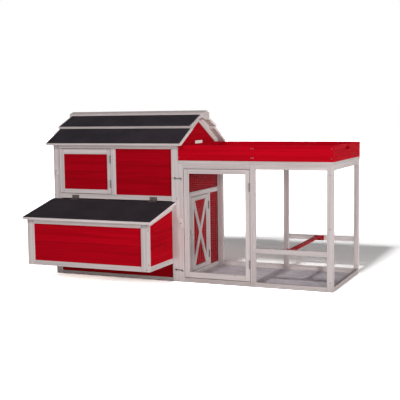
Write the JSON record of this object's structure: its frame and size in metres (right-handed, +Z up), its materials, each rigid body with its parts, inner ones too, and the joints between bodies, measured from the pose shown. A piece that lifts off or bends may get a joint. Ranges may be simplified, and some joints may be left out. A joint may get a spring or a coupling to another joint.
{
  "type": "chicken coop with run",
  "caption": "Wooden chicken coop with a pitched felt roof, a lidded nest box, a hinged house door, a wire run with its own door and a planter on the run roof.",
  "frame": {"origin": "centre of the bounding box, on the ground", "axes": "+X along the front towards the run end, +Y from the nest box to the back, +Z up"},
  "size_m": [2.361, 1.305, 1.306],
  "materials": {
    "white_wood": "white-washed softwood",
    "red_wood": "red stained softwood",
    "bare_wood": "bare softwood",
    "felt": "mineral roofing felt",
    "wire": "galvanised",
    "ground_sheet": "woven, dull",
    "blank_plate": "matt",
    "dark_steel": "dark bronze"
  },
  "bodies": {
    "coop": {"house_front_posts": "white_wood", "house_front_rails": "white_wood", "house_left_frame": "white_wood", "house_right_frame": "white_wood", "house_back_frame": "white_wood", "ridge_beam": "white_wood", "roof_front_lower_panel": "white_wood", "roof_front_upper_panel": "white_wood", "roof_back_lower_panel": "white_wood", "roof_back_upper_panel": "white_wood", "nest_front_frame": "white_wood", "nest_side_frames": "white_wood", "run_front_posts": "white_wood", "run_front_rails": "white_wood", "run_back_frame": "white_wood", "run_end_rails": "white_wood", "planter_base": "white_wood", "house_front_boards": "red_wood", "house_left_boards": "red_wood", "house_right_boards": "red_wood", "house_back_boards": "red_wood", "nest_boards": "red_wood", "planter_long_walls": "red_wood", "planter_end_walls": "red_wood", "run_perch": "red_wood", "house_roost": "red_wood", "perch_cradles": "red_wood", "house_floor": "bare_wood", "nest_floor": "bare_wood", "nest_dividers": "bare_wood", "planter_floor": "bare_wood", "roof_felts": "felt", "run_front_net": "wire", "run_end_net": "wire", "run_back_nets": "wire", "run_floor_sheet": "ground_sheet", "gable_plate": "blank_plate", "hinge_fixed_leaves": "dark_steel", "hinge_pins": "dark_steel", "latch_eyes": "dark_steel", "pivot_screws": "dark_steel", "frame_screws": "dark_steel"},
    "house_door": {"house_door_frame": "white_wood", "house_door_panel": "red_wood", "house_door_hinge_leaves": "dark_steel"},
    "run_door": {"run_door_frame": "white_wood", "run_door_net": "wire", "run_door_hinge_leaves": "dark_steel"},
    "pop_door": {"pop_door_frame": "white_wood", "pop_door_panel": "red_wood", "pop_door_braces": "white_wood", "pop_door_hinge_leaves": "dark_steel"},
    "nest_lid": {"nest_lid_board": "white_wood", "nest_lid_felt": "felt", "nest_lid_hinge_leaves": "dark_steel"},
    "house_latch": {"house_door_button": "white_wood"},
    "run_latch": {"run_door_button": "white_wood"},
    "pop_latch": {"pop_door_button": "white_wood"},
    "lower_catch": {"lower_hook": "dark_steel"},
    "upper_catch": {"upper_hook": "dark_steel"}
  },
  "joints": [
    {"name": "house_door_swing", "type": "hinge", "parent": "coop", "child": "house_door", "pos_m": [-0.604, -0.21169, 0.8365], "axis": [0, 0, 1], "range_deg": [0, 165]},
    {"name": "run_door_swing", "type": "hinge", "parent": "coop", "child": "run_door", "pos_m": [0.551, -0.21169, 0.453], "axis": [0, 0, 1], "range_deg": [0, 165]},
    {"name": "pop_door_swing", "type": "hinge", "parent": "coop", "child": "pop_door", "pos_m": [-0.0173, 0.37251, 0.3325], "axis": [0, 0, 1], "range_deg": [0, 110]},
    {"name": "nest_lid_lift", "type": "hinge", "parent": "coop", "child": "nest_lid", "pos_m": [-0.59, -0.21149, 0.62174], "axis": [1, 0, 0], "range_deg": [-93, 0]},
    {"name": "house_button_turn", "type": "hinge", "parent": "coop", "child": "house_latch", "pos_m": [-1.1, -0.21249, 0.8365], "axis": [0, -1, 0], "range_deg": [0, 90]},
    {"name": "run_button_turn", "type": "hinge", "parent": "coop", "child": "run_latch", "pos_m": [-0.0015, -0.21249, 0.453], "axis": [0, -1, 0], "range_deg": [0, 90]},
    {"name": "pop_button_turn", "type": "hinge", "parent": "coop", "child": "pop_latch", "pos_m": [-0.0165, 0.01451, 0.3325], "axis": [1, 0, 0], "range_deg": [0, 90]},
    {"name": "lower_hook_lift", "type": "hinge", "parent": "coop", "child": "lower_catch", "pos_m": [-0.0465, -0.21799, 0.096], "axis": [0, -1, 0], "range_deg": [0, 100]},
    {"name": "upper_hook_lift", "type": "hinge", "parent": "coop", "child": "upper_catch", "pos_m": [-0.0465, -0.21799, 0.798], "axis": [0, -1, 0], "range_deg": [0, 100]}
  ]
}
